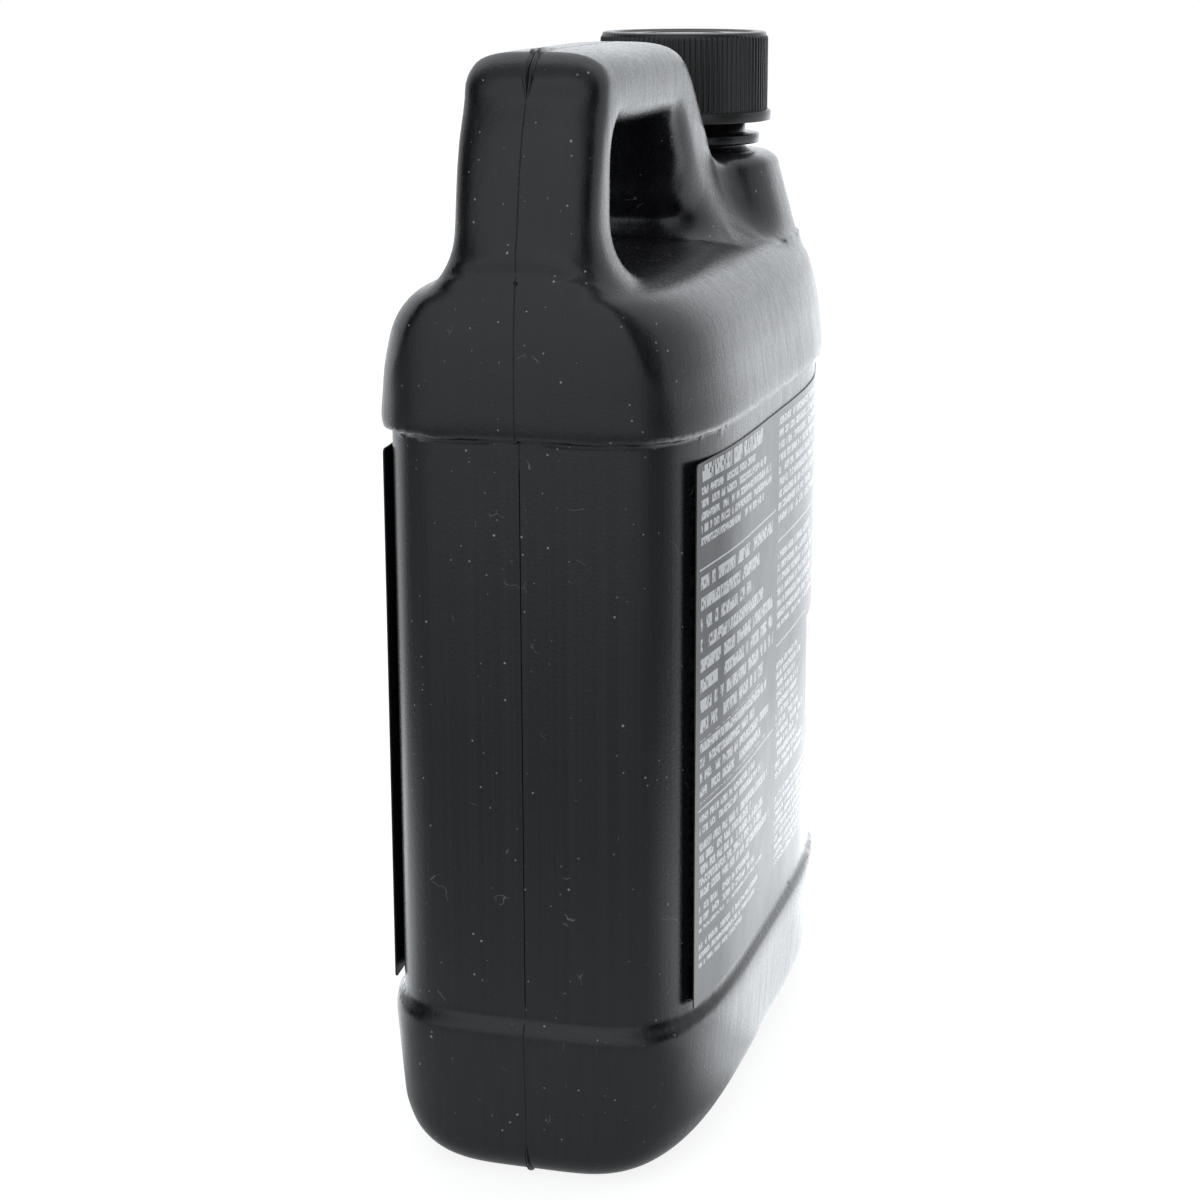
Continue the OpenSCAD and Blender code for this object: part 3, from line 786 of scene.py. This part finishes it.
def makeLabel(name, side, material, node):
    nx, nz = label["columns"], label["rows"]
    r = label["corner"]
    front = []
    for j in range(nz + 1):
        # rows close up towards the rounded corners
        z = label["height"] * (0.5 - 0.5 * math.cos(math.pi * j / nz))
        edge = min(z, label["height"] - z)
        pull = r - math.sqrt(max(r * r - (r - edge) ** 2, 0)) if edge < r else 0
        for i in range(nx + 1):
            x = (label["width"] / 2 - pull) * (2 * i / nx - 1)
            front.append((x, filmY(x), labelZ + z))
    front = np.array(front)
    across = np.array([filmY(x + 0.1) - filmY(x - 0.1) for x in front[:, 0]]) / 0.2
    out = np.stack([-across, np.ones(len(across)), np.zeros(len(across))], 1)
    out /= np.linalg.norm(out, axis=1)[:, None]
    back = front + 0.02 * out
    points = np.vstack([back, front + label["film"] * out])
    points[:, 1] *= side
    total = (nx + 1) * (nz + 1)
    quad = lambda a, b, c, d: [a, b, c, d] if side > 0 else [d, c, b, a]
    faces = []
    for j in range(nz):
        for i in range(nx):
            a = j * (nx + 1) + i
            faces.append(quad(a, a + 1, a + nx + 2, a + nx + 1))
            faces.append(quad(total + a + nx + 1, total + a + nx + 2, total + a + 1, total + a))
    rim = list(range(nx)) + [j * (nx + 1) + nx for j in range(nz)]
    rim += [nz * (nx + 1) + nx - i for i in range(nx)] + [(nz - j) * (nx + 1) for j in range(nz)]
    for a, b in zip(rim, rim[1:] + rim[:1]):
        faces.append(quad(a, a + total, b + total, b))
    return addPiece(name, points, faces, "jug", material, node, 40)


def textBlock(place, across, up, left, right, top, bottom, pitch, duty, stroke, seed):
    # rows of small marks that read as print from a distance
    row = ((top - up) / pitch).floor()
    within = ((top - up) / pitch) % 1
    word = place.vector((across / (pitch * 0.45)).floor(), row, seed).dice()
    level = row * 7 + (within * (3 / duty)).floor()
    mark = place.vector((across / stroke).floor(), level, seed + 3).dice()
    length = place.vector(row, seed, 1).dice()
    body = (within < duty) * (word > 0.17) * (mark > 0.22)
    limit = right - length * length * (right - left) * 0.4
    return body * across.between(left, limit) * up.between(bottom, top)


def filmMaterial(place, material, colour, light):
    # printed film: dark where it is looked at squarely, with a glare at a low angle
    fine = place.noise(2.0, 3.0)
    patch = place.noise(0.05, 2.0)
    ink = light.mix(patch.mix(*colour) if isinstance(colour, tuple) else colour, (0.85, 0.86, 0.88, 1))
    finishMaterial(place, [(fine, 0.2, 0.00002), (patch, 0.4, 0.0005)], Base_Color=ink,
                   Roughness=fine * 0.08 + 0.2, IOR=1.5, Specular_IOR_Level=0.14)
    return material


def backPrint():
    # grey film with two columns of white print, rules and a white panel
    material, place = startMaterial("backLabelFilm")
    x, y, z = place.axes()
    across = x + label["width"] / 2
    up = z - labelZ
    light = textBlock(place, across, up, 2.8, 50, 116, 112.6, 3.5, 0.95, 0.55, 11)
    for left, right, top, bottom, pitch, duty, stroke, seed in printBlocks:
        light = light.atLeast(textBlock(place, across, up, left, right, top, bottom,
                                                pitch, duty, stroke, seed))
    for left, right, height in printRules:
        light = light.atLeast(across.between(left, right) * up.between(height, height + 0.4))
    panel = across.between(104, 127) * up.between(34, 60)
    bars = place.vector((across / 0.42).floor(), 0, 5).dice() > 0.5
    bars = bars * across.between(107, 124) * up.between(38, 57)
    light = light.atLeast(panel * (1 - bars))
    return filmMaterial(place, material,
                        ((0.03, 0.032, 0.036, 1), (0.042, 0.044, 0.05, 1)), light)


printBlocks = [(2.8, 60, 111.6, 98.6, 2.6, 0.62, 0.3, 21), (2.8, 62, 93, 58, 4.35, 0.62, 0.42, 22),
               (2.8, 60, 57.5, 44.5, 3.2, 0.62, 0.34, 23), (2.8, 60, 41.8, 36.6, 2.6, 0.6, 0.3, 24),
               (2.8, 61, 35.8, 22.8, 2.6, 0.7, 0.32, 31), (2.8, 58, 21.9, 16, 2.5, 0.6, 0.3, 32),
               (2.8, 50, 13.5, 8, 2.2, 0.6, 0.28, 33),
               (66, 128, 115, 90, 2.8, 0.6, 0.35, 25), (66, 128, 84, 66, 2.8, 0.6, 0.35, 26),
               (66, 100, 58, 30, 2.4, 0.6, 0.32, 27), (66, 128, 26, 8, 2.0, 0.58, 0.3, 28)]
printRules = [(2, 63, 94.4), (2, 63, 43), (66, 130, 86.5), (66, 101, 62)]


def frontPrint():
    # dark film with a pale band, a coloured field and a few lines of marks, clear of its ends
    material, place = startMaterial("frontLabelFilm")
    x, y, z = place.axes()
    up = z - labelZ
    across = x + label["width"] / 2
    patch = place.noise(0.05, 2.0)
    base = patch.mix((0.03, 0.031, 0.034, 1), (0.04, 0.041, 0.045, 1))
    clear = across.between(13, label["width"] - 13)
    band = up.between(78, 100) * clear
    field = (up + x * 0.35).between(34, 70) * clear
    colour = field.mix(band.mix(base, (0.62, 0.63, 0.64, 1)), (0.03, 0.16, 0.3, 1))
    stripe = (up + x * 0.35).between(70.8, 73) * clear
    marks = textBlock(place, across, up, 14, 90, 26, 8, 3.6, 0.6, 0.5, 41)
    return filmMaterial(place, material, colour, stripe.atLeast(marks))


makeLabel("backLabelSheet", -1, backPrint(), "back_label")
makeLabel("frontLabelSheet", 1, frontPrint(), "front_label")
print("bottle: labels made")

# Studio: white to the camera; reflections find it bright behind, dark beside, dim in front.
studio = {"floorSize": 4.0, "side": 1.0, "behind": 1.45, "front": 0.62, "beside": 0.03, "near": 1.1,
          "tint": (0.93, 0.965, 1, 1)}


def glare(x, far):
    # how bright the surroundings are, by the share of their direction along X
    return (x.ease(-0.05, 0.3) * studio["side"] + x.ease(0.85, 0.98) * studio["behind"]
            + (0 - x).ease(0.35, 0.85) * far * studio["front"] + studio["beside"])


def makeFloor():
    size = studio["floorSize"]
    mesh = bpy.data.meshes.new("studioFloor")
    mesh.from_pydata([(-size, -size, 0), (size, -size, 0), (size, size, 0), (-size, size, 0)], [],
                     [[0, 1, 2, 3]])
    floor = bpy.data.objects.new("studioFloor", mesh)
    scene.collection.objects.link(floor)
    material = bpy.data.materials.new("paleFloor")
    material.use_nodes = True
    tree = material.node_tree
    tree.nodes.clear()
    start = Signal(tree)
    flat = start.node("ShaderNodeTexCoord", {}, {}, 3).stretch(1, 1, 0)
    x = start.node("ShaderNodeVectorMath", {"operation": "NORMALIZE"}, {0: flat}).axes()[0]
    away = start.node("ShaderNodeVectorMath", {"operation": "LENGTH"}, {0: flat}, "Value")
    near = (1 - away.ease(0.12, 0.42)) * (x.ease(-0.75, -0.2) + 0.35) * studio["near"]
    camera = start.node("ShaderNodeLightPath", {}, {}, "Is Camera Ray")
    glossy = start.node("ShaderNodeLightPath", {}, {}, "Is Glossy Ray")
    diffuse = start.node("ShaderNodeBsdfDiffuse", {}, {"Color": (0.35, 0.35, 0.35, 1)})
    mirrored = glare(x, away.ease(0.25, 0.95)) * 0.85 + near
    glow = start.node("ShaderNodeEmission", {}, {"Color": camera.mix(studio["tint"], grey(1)),
                                                 "Strength": camera * 0.85 + glossy * mirrored})
    both = start.node("ShaderNodeAddShader", {}, {0: diffuse, 1: glow})
    start.node("ShaderNodeOutputMaterial", {}, {"Surface": both})
    mesh.materials.append(material)


def makeWorld():
    world = bpy.data.worlds.new("studioSurroundings")
    world.use_nodes = True
    tree = world.node_tree
    tree.nodes.clear()
    start = Signal(tree)
    x, y, z = start.node("ShaderNodeTexCoord", {}, {}, 0).axes()
    seen = start.node("ShaderNodeLightPath", {}, {}, "Is Camera Ray")
    strength = seen + (1 - seen) * (glare(x, 1.9) * 0.78 + z.ease(0.3, 1) * 0.5)
    back = start.node("ShaderNodeBackground", {}, {"Color": seen.mix(studio["tint"], grey(1)),
                                                   "Strength": strength})
    start.node("ShaderNodeOutputWorld", {}, {"Surface": back})
    scene.world = world


def makeCamera():
    data = bpy.data.cameras.new("photoView")
    data.lens = 77.73
    data.sensor_width = 36
    camera = bpy.data.objects.new("photoView", data)
    scene.collection.objects.link(camera)
    yaw, pitch, roll = math.radians(16.1), math.radians(14.22), math.radians(-0.19)
    ahead = Vector((math.cos(yaw) * math.cos(pitch), math.sin(yaw) * math.cos(pitch), -math.sin(pitch)))
    right = Vector((math.sin(yaw), -math.cos(yaw), 0))
    up = right.cross(ahead)
    right, up = (right * math.cos(roll) + up * math.sin(roll),
                 up * math.cos(roll) - right * math.sin(roll))
    camera.location = (-0.5612, -0.1555, 0.2554)
    rotation = camera.rotation_euler.to_matrix()
    for axis, vector in enumerate((right, up, -ahead)):
        for row in range(3):
            rotation[row][axis] = vector[row]
    camera.rotation_euler = rotation.to_euler()
    scene.camera = camera


makeFloor()
makeWorld()
makeCamera()
scene.view_settings.view_transform = "Standard"
print("bottle: studio made")
